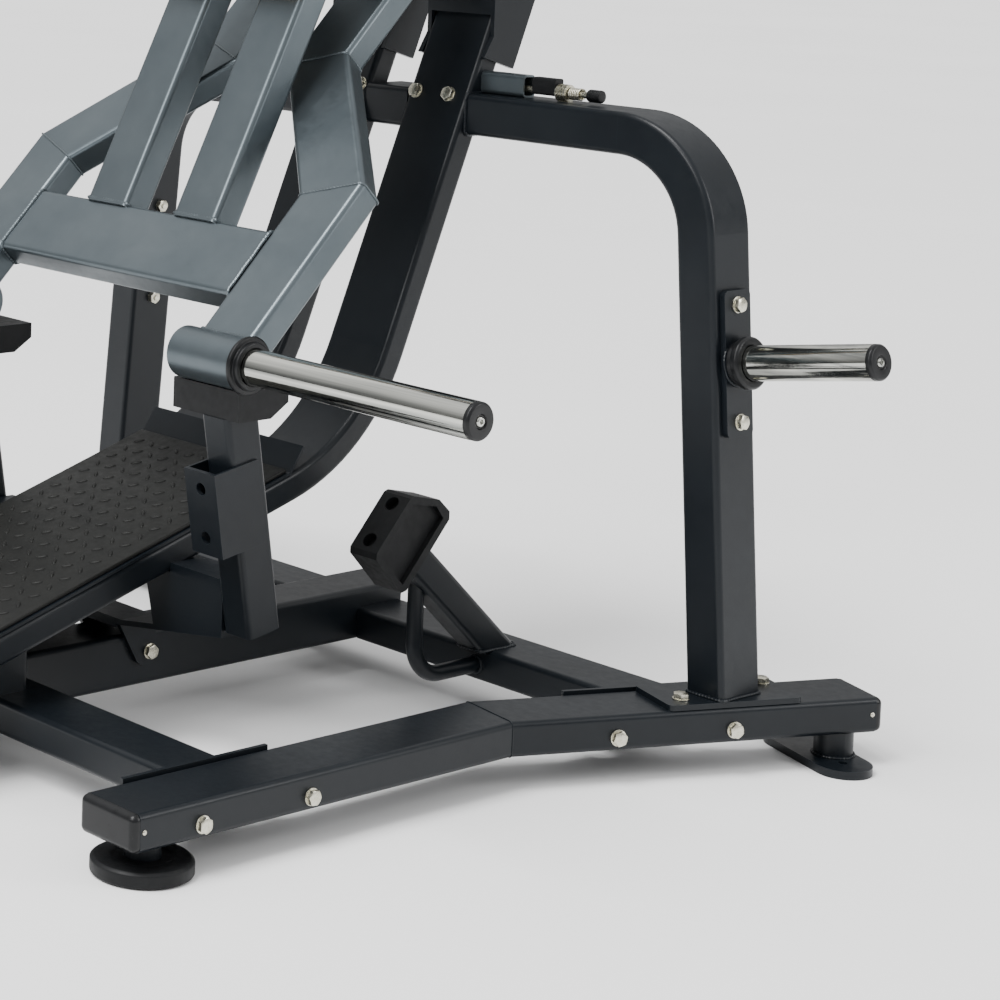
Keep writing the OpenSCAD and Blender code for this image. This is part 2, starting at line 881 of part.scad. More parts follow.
// Outline of a pivot bracket's side plate, with Y and Z as its axes
module ear_outline() {
    behind = 28;
    rear_y = up_y + upright_d / cos(upright_lean) + behind;
    low_z = 966;
    low_rear_z = 947;
    front_low_z = 997;
    top_front_y = 482;
    difference() {
        polygon([
            [up_y + (low_z - up_z) * tan_up, low_z],
            [rear_y + (low_rear_z - up_z) * tan_up, low_rear_z],
            [rear_y + (ear_top_z - up_z) * tan_up, ear_top_z],
            [top_front_y, ear_top_z],
            [ear_front_y, ear_top_z - (top_front_y - ear_front_y)],
            [ear_front_y, front_low_z]
        ]);
        translate([pivot_y, pivot_z]) circle(shaft_r);
    }
}

module pivot_bracket() {
    cover_low_z = 1030;
    for (x = [up_x0 - ear_t, up_x1])
        translate([x, 0, 0]) rotate([90, 0, 90]) linear_extrude(ear_t) ear_outline();
    translate([up_x0, ear_front_y, cover_low_z])
        cube([upright_w, flange_t, cover_top_z - cover_low_z]);
}

module pivot_bracket_right() {
    color(frame_color) pivot_bracket();
}

module pivot_bracket_left() {
    color(frame_color) mirror([1, 0, 0]) pivot_bracket();
}

module pivot_shaft() {
    half = up_x1 + ear_t;
    color(steel_color) translate([-half, pivot_y, pivot_z]) rotate([0, 90, 0])
        cylinder(r = shaft_r, h = 2 * half);
}

module pivot_nuts() {
    washer_r = 26;
    washer_t = 3;
    across = 46;
    nut_t = 16;
    color(steel_color) both() translate([up_x1 + ear_t, pivot_y, pivot_z]) rotate([0, 90, 0]) {
        cylinder(r = washer_r, h = washer_t);
        translate([0, 0, washer_t]) cylinder(d = across / cos(30), h = nut_t, $fn = 6);
    }
}

module pin_housing() {
    color(arm_color) translate([housing_x0, pin_y, post_top_z + housing_h / 2]) rotate([0, 90, 0])
        tube(housing_len, housing_h, housing_w, small_r + tube_wall);
}

// Ribbed bush of the pin, on a foot that stands on the post
module pin_guide() {
    ribs = 4;
    groove = 1.5;
    pitch = guide_t / ribs;
    color(frame_color) difference() {
        union() {
            translate([guide_x, pin_y, pin_z]) rotate([0, 90, 0]) {
                cylinder(r = guide_r - groove, h = guide_t);
                for (i = [0 : ribs - 1])
                    translate([0, 0, i * pitch]) cylinder(r = guide_r, h = pitch - groove);
            }
            translate([guide_x, pin_y - pin_r, post_top_z]) cube([guide_t, 2 * pin_r, pin_r]);
        }
        translate([guide_x - 1, pin_y, pin_z]) rotate([0, 90, 0])
            cylinder(r = pin_r + run_gap, h = guide_t + 2);
    }
}

module spring_pin() {
    inner_x = housing_x0 + housing_len / 2;
    color(steel_color) translate([inner_x, pin_y, pin_z]) rotate([0, 90, 0])
        cylinder(r = pin_r, h = knob_x - inner_x);
    color(frame_color) translate([knob_x, pin_y, pin_z]) rotate([0, 90, 0])
        cylinder(r = knob_r, h = knob_len);
}

module pin_block() {
    block_lift = 7;
    color(rubber_color) difference() {
        translate([pin_block_x, pin_y, pin_z + block_lift]) rotate([0, 90, 0])
            plate(pin_block_h, pin_block_d, pin_block_len, small_r);
        translate([pin_block_x - 1, pin_y, pin_z]) rotate([0, 90, 0])
            cylinder(r = pin_r, h = pin_block_len + 2);
    }
}

module pin_spring() {
    wire = 1.8;
    from_x = guide_x + guide_t;
    pitch = (spring_end_x - from_x) / spring_turns;
    ring_r = pin_r + wire + 1;
    color(steel_color) for (i = [0 : spring_turns - 1])
        translate([from_x + (i + 0.5) * pitch, pin_y, pin_z]) rotate([0, 90, 0])
            rotate_extrude() translate([ring_r, 0]) circle(wire, $fn = 24);
}

module arm() {
    end_gap = 1;
    low_inset = 27;
    high_inset = 29;
    vent_y = -90;
    difference() {
        union() {
            mitred([arm_out_x, low_inset - arm_reach], [arm_out_x, -knee_low], 0, knee_turn, arm_w,
                arm_t, weld_lap);
            mitred([arm_out_x, -knee_low], [arm_in_x, -knee_high], knee_turn, -knee_turn, arm_w,
                arm_t, weld_lap);
            mitred([arm_in_x, -knee_high], [arm_in_x, -high_inset], -knee_turn, 0, arm_w, arm_t,
                weld_lap);
            translate([socket_x0, -arm_reach, 0]) rotate([0, 90, 0])
                cylinder(r = socket_r, h = socket_x1 - socket_x0);
            translate([up_x0 + hub_gap, 0, 0]) rotate([0, 90, 0])
                cylinder(r = hub_r, h = upright_w - 2 * hub_gap);
        }
        translate([horn_x0, -arm_reach, 0]) rotate([0, 90, 0]) cylinder(r = shank_r, h = big);
        translate([socket_x1, -arm_reach, 0]) rotate([0, 90, 0])
            cylinder(r = collar_r + end_gap, h = arm_w);
        rotate([0, 90, 0]) cylinder(r = hub_bore, h = big);
        translate([arm_in_x, vent_y, -arm_t / 2 - 1]) cylinder(r = vent_r, h = 2 * tube_wall);
    }
}

module arm_right() {
    color(arm_color) arm_frame() arm();
}

module arm_left() {
    color(arm_color) mirror([1, 0, 0]) arm_frame() arm();
}

module arm_cross_tube() {
    half = arm_out_x - arm_w / 2;
    color(arm_color) arm_frame() translate([-half, -cross_mid, 0]) rotate([0, 90, 0])
        tube(2 * half, arm_t, cross_tube_w);
}

// Bar with its foot coped over the arm's cross tube
module back_bar() {
    difference() {
        intersection() {
            bar_frame() translate([bar_mid_x, bar_t / 2, -bar_w]) tube(bar_len + bar_w, bar_w, bar_t);
            arm_frame() translate([-big / 2, cross_tube_w / 2 - cross_mid - bar_lap, -big / 2])
                cube([big, big, big]);
        }
        arm_frame() translate([0, -cross_mid, 0]) rotate([0, 90, 0]) linear_extrude(big)
            round_rect(arm_t, cross_tube_w, corner_r);
    }
}

module back_bar_right() {
    color(arm_color) back_bar();
}

module back_bar_left() {
    color(arm_color) mirror([1, 0, 0]) back_bar();
}

module arm_collars() {
    color(rubber_color) both() arm_frame() translate([socket_x1, -arm_reach, 0]) rotate([0, 90, 0])
        difference() {
            union() {
                cylinder(r = collar_r, h = collar_t);
                translate([0, 0, collar_t]) cylinder(r = collar_step_r, h = collar_step_t);
            }
            translate([0, 0, -1]) cylinder(r = shank_r, h = big);
        }
}

module arm_horns() {
    from_x = socket_x1 + collar_t + collar_step_t;
    color(chrome_color) both() arm_frame() translate([from_x, -arm_reach, 0]) rotate([0, 90, 0])
        horn_sleeve(horn_end_x - cap_len - from_x, from_x - horn_x0);
}

module arm_horn_caps() {
    color(rubber_color) both() arm_frame() translate([horn_end_x - cap_len, -arm_reach, 0])
        rotate([0, 90, 0])
        horn_cap();
}

module pivot_bushes() {
    bush_len = 30;
    lip_r = 30;
    lip_t = hub_gap - 0.5;
    color(steel_color) both() translate([0, pivot_y, pivot_z]) for (side = [0, 1])
        translate([side == 0 ? up_x0 + hub_gap : up_x1 - hub_gap, 0, 0])
            rotate([0, side == 0 ? 90 : -90, 0])
            difference() {
                union() {
                    cylinder(r = hub_bore, h = bush_len);
                    translate([0, 0, -lip_t]) cylinder(r = lip_r, h = lip_t);
                }
                translate([0, 0, -big / 2]) cylinder(r = shaft_r + run_gap, h = big);
            }
}

module bar_braces() {
    brace_h = 60;
    color(arm_color) both() intersection() {
        bar_frame() translate([arm_in_x, bar_t, brace_along]) rotate([-90 + bar_lean, 0, 0])
            translate([0, 0, -bar_t]) tube(big / 4, bar_w - 2 * corner_r, brace_h);
        bar_frame() translate([-big / 2, bar_t, -big / 2]) cube([big, big, big]);
        arm_frame() translate([-big / 2, -big, arm_t / 2]) cube([big, big, big]);
    }
}

module pad_board() {
    color(wood_color) bar_frame() translate([-board_w / 2, -board_t, board_from])
        cube([board_w, board_t, board_to - board_from]);
}

module back_pad() {
    soft_r = 20;
    len = board_to - board_from + 2 * corner_r;
    color(pad_color) bar_frame() translate([0, -board_t - pad_gap, (board_from + board_to) / 2])
        rotate([90, 0, 0]) plate(pad_w, len, pad_t, soft_r);
}

module shoulder_booms() {
    top = shoulder_from + shoulder_t + pad_gap;
    color(arm_color) both() bar_frame() translate([shoulder_x - corner_r, 0, top + boom_h / 2])
        rotate([90, 0, 0]) tube(boom_len, boom_w, boom_h);
}

module shoulder_pads() {
    soft_r = 25;
    color(pad_color) both() bar_frame()
        translate([shoulder_x, -corner_r, shoulder_from + shoulder_t / 2])
        rotate([90, 0, 0]) plate(shoulder_w, shoulder_t, shoulder_len, soft_r);
}

// Frame of a handle: Z runs outward from its boom
module handle_frame() {
    top = shoulder_from + shoulder_t + pad_gap;
    bar_frame() translate([shoulder_x - corner_r + boom_w / 2, boom_w / 2 - boom_len, top + boom_h / 2])
        rotate([0, 90, 0]) children();
}

module handles() {
    color(arm_color) both() handle_frame() cylinder(r = handle_r, h = handle_out + grip_len);
}

module grips() {
    color(rubber_color) both() handle_frame() translate([0, 0, handle_out]) difference() {
        cylinder(r = grip_r, h = grip_len + small_r);
        translate([0, 0, -1]) cylinder(r = handle_r, h = grip_len + 1);
    }
}

side_rail_right();
side_rail_left();
front_cross_tube();
rear_cross_right();
rear_cross_left();
centre_rail();
rail_end_caps();
rail_bolts();
front_feet();
front_foot_stems();
rear_feet();
side_post_right();
side_post_left();
post_bolts();
upright_right();
upright_left();
upper_tie();
upright_bolts();
upright_top_caps();
deck_plate();
tread_mat();
platform_cross_tube();
platform_saddle();
platform_risers();
bumper_post_right();
bumper_post_left();
bumper_brackets();
bumper_rubbers();
rear_stop_tube();
rear_stop_rod();
rear_stop_block();
storage_plates();
storage_horns();
storage_collars();
horn_end_caps();
pivot_bracket_right();
pivot_bracket_left();
pivot_shaft();
pivot_nuts();
pin_housing();
pin_guide();
pin_spring();
spring_pin();
pin_block();
arm_right();
arm_left();
arm_cross_tube();
back_bar_right();
back_bar_left();
arm_collars();
arm_horns();
arm_horn_caps();
pivot_bushes();
bar_braces();
pad_board();
back_pad();
shoulder_booms();
shoulder_pads();
handles();
grips();
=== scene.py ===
"""Looks for the lever squat press: materials, detailed pieces, pads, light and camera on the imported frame."""

import json
import math

import bpy
import numpy as np
from mathutils import Matrix, Vector, noise


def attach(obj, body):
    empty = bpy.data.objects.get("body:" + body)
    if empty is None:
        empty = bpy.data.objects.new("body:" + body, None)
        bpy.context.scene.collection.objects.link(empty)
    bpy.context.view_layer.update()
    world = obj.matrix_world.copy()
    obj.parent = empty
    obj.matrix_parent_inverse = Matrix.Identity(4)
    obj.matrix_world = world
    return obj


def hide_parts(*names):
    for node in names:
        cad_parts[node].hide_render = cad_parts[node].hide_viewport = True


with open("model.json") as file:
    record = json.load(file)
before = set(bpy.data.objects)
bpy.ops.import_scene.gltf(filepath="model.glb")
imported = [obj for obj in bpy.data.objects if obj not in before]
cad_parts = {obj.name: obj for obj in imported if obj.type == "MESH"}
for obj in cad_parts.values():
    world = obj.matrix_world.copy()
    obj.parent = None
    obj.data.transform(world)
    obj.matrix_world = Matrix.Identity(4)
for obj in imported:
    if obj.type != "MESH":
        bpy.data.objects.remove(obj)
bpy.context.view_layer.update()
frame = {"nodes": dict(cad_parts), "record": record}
NODES = frame["nodes"]


# ---------------------------------------------------------------- materials
class Graph:
    """A small helper that wires a Principled material."""

    def __init__(self, name):
        self.mat = bpy.data.materials.new(name)
        self.mat.use_nodes = True
        self.tree = self.mat.node_tree
        self.tree.nodes.clear()
        self.out = self.node("ShaderNodeOutputMaterial")
        self.bsdf = self.node("ShaderNodeBsdfPrincipled")
        self.link(self.bsdf.outputs[0], self.out.inputs["Surface"])
        self.coord = self.node("ShaderNodeTexCoord")
        self.bump = None

    def node(self, kind, **values):
        n = self.tree.nodes.new(kind)
        for key, value in values.items():
            setattr(n, key, value)
        return n

    def link(self, a, b):
        self.tree.links.new(a, b)

    def set(self, **values):
        for key, value in values.items():
            self.bsdf.inputs[key.replace("_", " ")].default_value = value

    def mapping(self, scale=(1, 1, 1), turn=(0, 0, 0)):
        m = self.node("ShaderNodeMapping")
        m.inputs["Scale"].default_value = scale
        m.inputs["Rotation"].default_value = turn
        self.link(self.coord.outputs["Object"], m.inputs["Vector"])
        return m.outputs[0]

    def noise(self, scale, detail=4, rough=0.55, vector=None, distortion=0.0):
        n = self.node("ShaderNodeTexNoise")
        n.inputs["Scale"].default_value = scale
        n.inputs["Detail"].default_value = detail
        n.inputs["Roughness"].default_value = rough
        n.inputs["Distortion"].default_value = distortion
        self.link(vector or self.coord.outputs["Object"], n.inputs["Vector"])
        return n.outputs["Fac"]

    def cells(self, scale, vector=None, feature="F1", random=1.0):
        v = self.node("ShaderNodeTexVoronoi", feature=feature)
        v.inputs["Scale"].default_value = scale
        v.inputs["Randomness"].default_value = random
        self.link(vector or self.coord.outputs["Object"], v.inputs["Vector"])
        return v.outputs["Distance"]

    def spread(self, fac, low, high, from_low=0.3, from_high=0.7):
        """Maps a 0-1 pattern onto a range of values."""
        m = self.node("ShaderNodeMapRange")
        m.inputs["From Min"].default_value = from_low
        m.inputs["From Max"].default_value = from_high
        m.inputs["To Min"].default_value = low
        m.inputs["To Max"].default_value = high
        self.link(fac, m.inputs["Value"])
        return m.outputs["Result"]

    def mix(self, fac, a, b):
        m = self.node("ShaderNodeMix", data_type="RGBA")
        for value, socket in ((a, 6), (b, 7)):
            if isinstance(value, (tuple, list)):
                m.inputs[socket].default_value = (*value, 1.0)
            else:
                self.link(value, m.inputs[socket])
        if isinstance(fac, float):
            m.inputs[0].default_value = fac
        else:
            self.link(fac, m.inputs[0])
        return m.outputs[2]

    def relief(self, height, distance, strength=1.0):
        b = self.node("ShaderNodeBump")
        b.inputs["Distance"].default_value = distance
        b.inputs["Strength"].default_value = strength
        self.link(height, b.inputs["Height"])
        if self.bump is not None:
            self.link(self.bump, b.inputs["Normal"])
        self.bump = b.outputs["Normal"]
        self.link(self.bump, self.bsdf.inputs["Normal"])

    def rough(self, fac, low, high):
        self.link(self.spread(fac, low, high), self.bsdf.inputs["Roughness"])

    def color(self, fac, a, b):
        self.link(self.mix(self.spread(fac, 0.0, 1.0), a, b), self.bsdf.inputs["Base Color"])

    def paint_edge_highlight(self, color, edge_highlight_color, amount=0.35, radius=0.0015):
        """Lightens convex edges a little: a painted highlight along the edges."""
        bevel = self.node("ShaderNodeBevel", samples=4)
        bevel.inputs["Radius"].default_value = radius
        geo = self.node("ShaderNodeNewGeometry")
        dot = self.node("ShaderNodeVectorMath", operation="DOT_PRODUCT")
        self.link(bevel.outputs[0], dot.inputs[0])
        self.link(geo.outputs["Normal"], dot.inputs[1])
        edge = self.spread(dot.outputs["Value"], amount, 0.0, 0.86, 0.995)
        self.link(self.mix(edge, color, edge_highlight_color), self.bsdf.inputs["Base Color"])


def powder_coat(name, low, high, rough, metal, coat, peel, edge_highlight_color):
    """Powder coat: fine orange peel, slow sheen changes, and a painted highlight that lightens the edges."""
    g = Graph(name)
    g.set(Metallic=metal, Coat_Weight=coat, Coat_Roughness=0.22, Specular_IOR_Level=0.24)
    slow = g.noise(7, 5)
    fine = g.noise(420, 2, 0.5)
    dust = g.noise(60, 6, 0.7)
    tone = g.mix(g.spread(slow, 0.0, 1.0), low, high)
    # The convex edges get a lighter colour: a painted edge highlight.
    g.paint_edge_highlight(tone, edge_highlight_color)
    g.rough(dust, rough - 0.05, rough + 0.06)
    g.relief(fine, peel, 0.6)
    g.relief(slow, 0.0006, 0.15)
    return g.mat


def chrome(name):
    """Chromed sleeve: faint turning lines round it, a few fine scuffs from the plates, and painted reflections
    as dark and light bands of colour along it.
    """
    g = Graph(name)
    g.set(Metallic=1.0)
    lines = g.noise(1.0, 3, 0.6, g.mapping((900, 14, 14)))
    reflection_bands = g.noise(1.0, 3, 0.6, g.mapping((1.5, 75, 75)))
    scuff = g.noise(1.0, 5, 0.75, g.mapping((60, 220, 220)))
    # Dark and light bands of base colour along the sleeve: painted reflections of the studio.
    g.color(reflection_bands, (0.20, 0.21, 0.205), (0.76, 0.76, 0.70))
    g.rough(scuff, 0.05, 0.17)
    g.relief(lines, 0.00002, 0.35)
    return g.mat


def plated(name, low, high, rough):
    """Zinc-plated or turned metal: cloudy tone and a fine grain."""
    g = Graph(name)
    g.set(Metallic=1.0)
    cloud = g.noise(140, 5, 0.65)
    g.color(cloud, low, high)
    g.rough(g.noise(380, 4), rough - 0.08, rough + 0.1)
    g.relief(g.noise(900, 3), 0.00005, 0.5)
    return g.mat


def rubber(name, low, high, rough, grain):
    """Moulded rubber: chalky bloom in patches over a fine pebble."""
    g = Graph(name)
    g.set(Specular_IOR_Level=0.22)
    bloom = g.noise(24, 6, 0.65)
    g.color(bloom, low, high)
    g.rough(g.noise(90, 4), rough - 0.07, rough + 0.08)
    g.relief(g.noise(650, 3), grain, 0.6)
    g.relief(bloom, 0.0004, 0.2)
    return g.mat


def plastic(name, low, high):
    """Moulded plastic: soft sheen with a fine spark-eroded grain."""
    g = Graph(name)
    g.set(Specular_IOR_Level=0.28)
    g.color(g.noise(30, 3), low, high)
    g.rough(g.noise(120, 4), 0.27, 0.40)
    g.relief(g.cells(900), 0.00006, 0.5)
    return g.mat


def vinyl(name):
    """Upholstery vinyl: leather grain of fine cells, creased more where the noise says."""
    g = Graph(name)
    g.set(Sheen_Weight=0.08, Coat_Weight=0.12, Coat_Roughness=0.35)
    cells = g.cells(620, feature="DISTANCE_TO_EDGE")
    wide = g.noise(14, 5, 0.6)
    g.color(g.noise(45, 5), (0.012, 0.012, 0.014), (0.022, 0.022, 0.025))
    g.rough(wide, 0.36, 0.52)
    g.relief(g.spread(cells, 0.0, 1.0, 0.0, 0.14), 0.00018, 0.7)
    g.relief(wide, 0.0015, 0.25)
    return g.mat


def plywood(name):
    """Raw plywood: long grain with darker plies."""
    g = Graph(name)
    grain = g.noise(1.0, 6, 0.6, g.mapping((60, 60, 6)), 0.8)
    g.color(grain, (0.34, 0.22, 0.12), (0.55, 0.40, 0.24))
    g.rough(grain, 0.6, 0.8)
    g.relief(grain, 0.0004, 0.5)
    return g.mat


# The last colour given to each paint is the painted highlight for its convex edges.
M = {
    "frame_paint": powder_coat(
        "frame_paint", low=(0.0036, 0.0054, 0.0076), high=(0.0056, 0.0080, 0.0108),
        rough=0.36, metal=0.0, coat=0.05, peel=0.00010, edge_highlight_color=(0.020, 0.026, 0.032),
    ),
    "arm_paint": powder_coat(
        "arm_paint", low=(0.088, 0.108, 0.120), high=(0.118, 0.140, 0.152),
        rough=0.34, metal=0.78, coat=0.08, peel=0.00008, edge_highlight_color=(0.30, 0.33, 0.34),
    ),
    "zinc_steel": plated("zinc_steel", (0.50, 0.48, 0.38), (0.72, 0.70, 0.60), 0.30),
    "bush_bronze": plated("bush_bronze", (0.42, 0.29, 0.14), (0.55, 0.40, 0.20), 0.35),
    "chrome_sleeve": chrome("chrome_sleeve"),
    "black_plastic": plastic("black_plastic", (0.0040, 0.0044, 0.0050), (0.0070, 0.0075, 0.0085)),
    "black_rubber": rubber("black_rubber", (0.0038, 0.0042, 0.0048), (0.0075, 0.0080, 0.0088), 0.50, 0.00012),
    "tread_rubber": rubber("tread_rubber", (0.0050, 0.0054, 0.0050), (0.0095, 0.0098, 0.0088), 0.50, 0.00012),
    "pad_board_wood": plywood("pad_board_wood"),
    "pad_vinyl": vinyl("pad_vinyl"),
}
SLOTS = {s["node"]: s["material_slot"] for s in frame["record"]["subparts"]}


def paint(obj, mat):
    obj.data.materials.clear()
    obj.data.materials.append(mat)


for name, obj in NODES.items():
    paint(obj, M[SLOTS[name]])
paint(NODES["pin_guide"], M["zinc_steel"])


# ---------------------------------------------------------------- shapes
class Shape:
    """Collects the geometry of one piece. Each part of it can take its own material."""

    def __init__(self):
        self.verts, self.faces, self.slots = [], [], []

    def add(self, part, place=None, slot=0):
        place = place or Matrix()
        base = len(self.verts)
        flip = place.determinant() < 0
        self.verts += [place @ Vector(v) for v in part[0]]
        for face in part[1]:
            ids = [base + i for i in face]
            self.faces.append(ids[::-1] if flip else ids)
            self.slots.append(slot)
        return self

    def make(self, name, slots, body, nodes=(), angle=38):
        mesh = bpy.data.meshes.new(name)
        mesh.from_pydata(self.verts, [], self.faces)
        for slot in slots:
            mesh.materials.append(M[slot])
        mesh.polygons.foreach_set("material_index", self.slots)
        mesh.shade_smooth()
        mesh.set_sharp_from_angle(angle=math.radians(angle))
        obj = bpy.data.objects.new(name, mesh)
        bpy.context.scene.collection.objects.link(obj)
        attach(obj, body)
        if nodes:
            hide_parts(*nodes)
        return obj


def move(x=0.0, y=0.0, z=0.0):
    return Matrix.Translation((x, y, z))


def turn(degrees, axis):
    return Matrix.Rotation(math.radians(degrees), 4, axis)


MIRROR = Matrix.Scale(-1, 4, (1, 0, 0))
BOTH = (Matrix(), MIRROR)
ALONG_X = turn(90, "Y")


def soften(profile, radius, steps=4):
    """Rounds the inner corners of a profile."""
    out = [tuple(profile[0])]
    for a, b, c in zip(profile, profile[1:], profile[2:]):
        a, b, c = Vector(a), Vector(b), Vector(c)
        cut = min(radius, (a - b).length / 2, (c - b).length / 2)
        p, q = b + (a - b).normalized() * cut, b + (c - b).normalized() * cut
        for i in range(steps + 1):
            t = i / steps
            out.append(tuple(p.lerp(b, t).lerp(b.lerp(q, t), t)))
    out.append(tuple(profile[-1]))
    return out


def lathe(profile, segments=56):
    """Turned part about +Z, from (radius, height) pairs that go up the outside."""
    verts, faces, rings = [], [], []
    for r, z in profile:
        count = segments if r > 1e-6 else 1
        rings.append(range(len(verts), len(verts) + count))
        for i in range(count):
            a = 2 * math.pi * i / segments
            verts.append((r * math.cos(a), r * math.sin(a), z))
    for lo, hi in zip(rings, rings[1:]):
        for i in range(segments):
            j = (i + 1) % segments
            if len(lo) == 1 and len(hi) == 1:
                break
            if len(lo) == 1:
                faces.append((lo[0], hi[j], hi[i]))
            elif len(hi) == 1:
                faces.append((lo[i], lo[j], hi[0]))
            else:
                faces.append((lo[i], lo[j], hi[j], hi[i]))
    return verts, faces


def hex_head(across, height, segments=48):
    """Hexagonal head from Z = 0 up, with its top edge turned to a cone."""
    flat = across / 2
    cone_r = 0.93 * flat
    rings = ([], [], [])
    for i in range(segments):
        a = 2 * math.pi * i / segments
        off = (a + math.pi / 6) % (math.pi / 3) - math.pi / 6
        r = flat / math.cos(off)
        low = height - max(0.0, r - cone_r) * 0.55
        rings[0].append((r * math.cos(a), r * math.sin(a), 0))
        rings[1].append((r * math.cos(a), r * math.sin(a), low))
        rings[2].append((cone_r * math.cos(a), cone_r * math.sin(a), height))
    verts = rings[0] + rings[1] + rings[2]
    faces = [tuple(range(segments))[::-1], tuple(range(2 * segments, 3 * segments))]
    for k in range(2):
        for i in range(segments):
            j = (i + 1) % segments
            lo, hi = k * segments, (k + 1) * segments
            faces.append((lo + i, lo + j, hi + j, hi + i))
    return verts, faces


def soft_box(size, radius, steps=4):
    """Box centred on the origin with round edges and corners."""
    verts, faces, seen = [], [], {}
    half = [s / 2 for s in size]
    lines = []
    for h in half:
        arc = [h - radius + radius * math.tan(math.radians(45 * i / steps)) for i in range(steps + 1)]
        lines.append([-v for v in arc[::-1]] + arc)

    def corner(p):
        inner = Vector([max(-(h - radius), min(h - radius, v)) for v, h in zip(p, half)])
        q = inner + (Vector(p) - inner).normalized() * radius
        key = tuple(round(v, 7) for v in q)
        if key not in seen:
            seen[key] = len(verts)
            verts.append(tuple(q))
        return seen[key]

    for k in range(3):
        i, j = (k + 1) % 3, (k + 2) % 3
        for side in (-1, 1):
            for u0, u1 in zip(lines[i], lines[i][1:]):
                for v0, v1 in zip(lines[j], lines[j][1:]):
                    ids = []
                    for u, v in ((u0, v0), (u1, v0), (u1, v1), (u0, v1)):
                        p = [0.0, 0.0, 0.0]
                        p[i], p[j], p[k] = u, v, side * half[k]
                        ids.append(corner(p))
                    faces.append(tuple(ids if side > 0 else ids[::-1]))
    return verts, faces


def sweep(points, radius, closed=False, sides=8):
    """Round bar along a line. The radius is a number, or one for each point."""
    points = [Vector(p) for p in points]
    n = len(points)
    radii = radius if isinstance(radius, list) else [radius] * n
    verts, faces = [], []
    ahead = [(points[(i + 1) % n] - points[i - 1]) if closed or 0 < i < n - 1 else None for i in range(n)]
    ahead[0] = ahead[0] or points[1] - points[0]
    ahead[-1] = ahead[-1] or points[-1] - points[-2]
    across = ahead[0].orthogonal().normalized()
    for p, d, r in zip(points, ahead, radii):
        d = d.normalized()
        across = (across - d * across.dot(d)).normalized()
        other = d.cross(across)
        for k in range(sides):
            a = 2 * math.pi * k / sides
            verts.append(tuple(p + (across * math.cos(a) + other * math.sin(a)) * r))
    for i in range(n if closed else n - 1):
        lo, hi = i * sides, ((i + 1) % n) * sides
        for k in range(sides):
            m = (k + 1) % sides
            faces.append((lo + k, lo + m, hi + m, hi + k))
    if not closed:
        faces.append(tuple(range(sides))[::-1])
        faces.append(tuple(range((n - 1) * sides, n * sides)))
    return verts, faces


def spaced(points, step, closed):
    """The same line with points at even steps."""
    points = [Vector(p) for p in points]
    if closed:
        points.append(points[0])
    runs = [(b - a).length for a, b in zip(points, points[1:])]
    count = max(3, round(sum(runs) / step))
    out, k, used = [], 0, 0.0
    for i in range(count if closed else count + 1):
        s = sum(runs) * i / count
        while k < len(runs) - 1 and s > used + runs[k]:
            used += runs[k]
            k += 1
        out.append(points[k].lerp(points[k + 1], min(1.0, (s - used) / max(runs[k], 1e-9))))
    return out


def bead(points, radius, closed=True, pitch=0.0055):
    """Weld bead: overlapping ripples that wander and swell a little."""
    line = spaced(points, pitch / 5, closed)
    radii = []
    for i, p in enumerate(line):
        ripple = abs(math.sin(math.pi * i / 5))
        swell = noise.noise(p * 60)
        radii.append(radius * (0.80 + 0.22 * ripple + 0.22 * swell))
        wander = Vector([noise.noise(p * 45 + Vector((shift, 0, 0))) for shift in (0, 17, 31)])
        line[i] = p + wander * radius * 0.25
    return sweep(line, radii, closed)


def ring_loop(radius, z=0.0, count=64):
    turns = [2 * math.pi * i / count for i in range(count)]
    return [(radius * math.cos(a), radius * math.sin(a), z) for a in turns]


def rect_loop(w, h, r, steps=5):
    """Outline of a rectangle with round corners, in XY."""
    out = []
    for cx, cy, start in ((1, 1, 0), (-1, 1, 90), (-1, -1, 180), (1, -1, 270)):
        for i in range(steps + 1):
            a = math.radians(start + 90 * i / steps)
            out.append((cx * (w / 2 - r) + r * math.cos(a), cy * (h / 2 - r) + r * math.sin(a), 0.0))
    return out


# ---------------------------------------------------------------- frames of the CAD part, in metres
SPLAY = move(0.565, 0.110) @ turn(-21, "Z")
UP_LEAN, DECK_SLOPE, BEND_R = math.radians(22.6), math.radians(16.7), 0.295
CORNER_Y = ((0.883 - 0.403 / math.tan(UP_LEAN)) - (0.351 - 0.023 * math.tan(DECK_SLOPE))) / (
    math.tan(DECK_SLOPE) - 1 / math.tan(UP_LEAN)
)
CORNER_Z = 0.351 + (CORNER_Y - 0.023) * math.tan(DECK_SLOPE)
TANGENT = BEND_R * math.tan((math.pi / 2 - UP_LEAN - DECK_SLOPE) / 2)
DECK_LEN = (CORNER_Y + 0.685) / math.cos(DECK_SLOPE) - TANGENT
DECK_END = (CORNER_Y - TANGENT * math.cos(DECK_SLOPE), CORNER_Z - TANGENT * math.sin(DECK_SLOPE))
DECK = move(0, *DECK_END) @ turn(16.7, "X")
ARM = move(0, 0.508, 1.292) @ turn(45, "X")
BAR = move(0, -0.076, 0.748) @ turn(-26.6, "X")
LEG = move(0.678 - math.tan(math.radians(4.8)) * 0.474, 0.452, 0.574) @ turn(-4.8, "Y")
STORAGE = LEG @ move(0.008) @ turn(85, "Y")
STOP = move(0.290, 0.399, 0.098) @ turn(48, "X")
PIN = move(0, 0.455, 0.924) @ ALONG_X
REACH = 1.002
HORN_R = 0.025


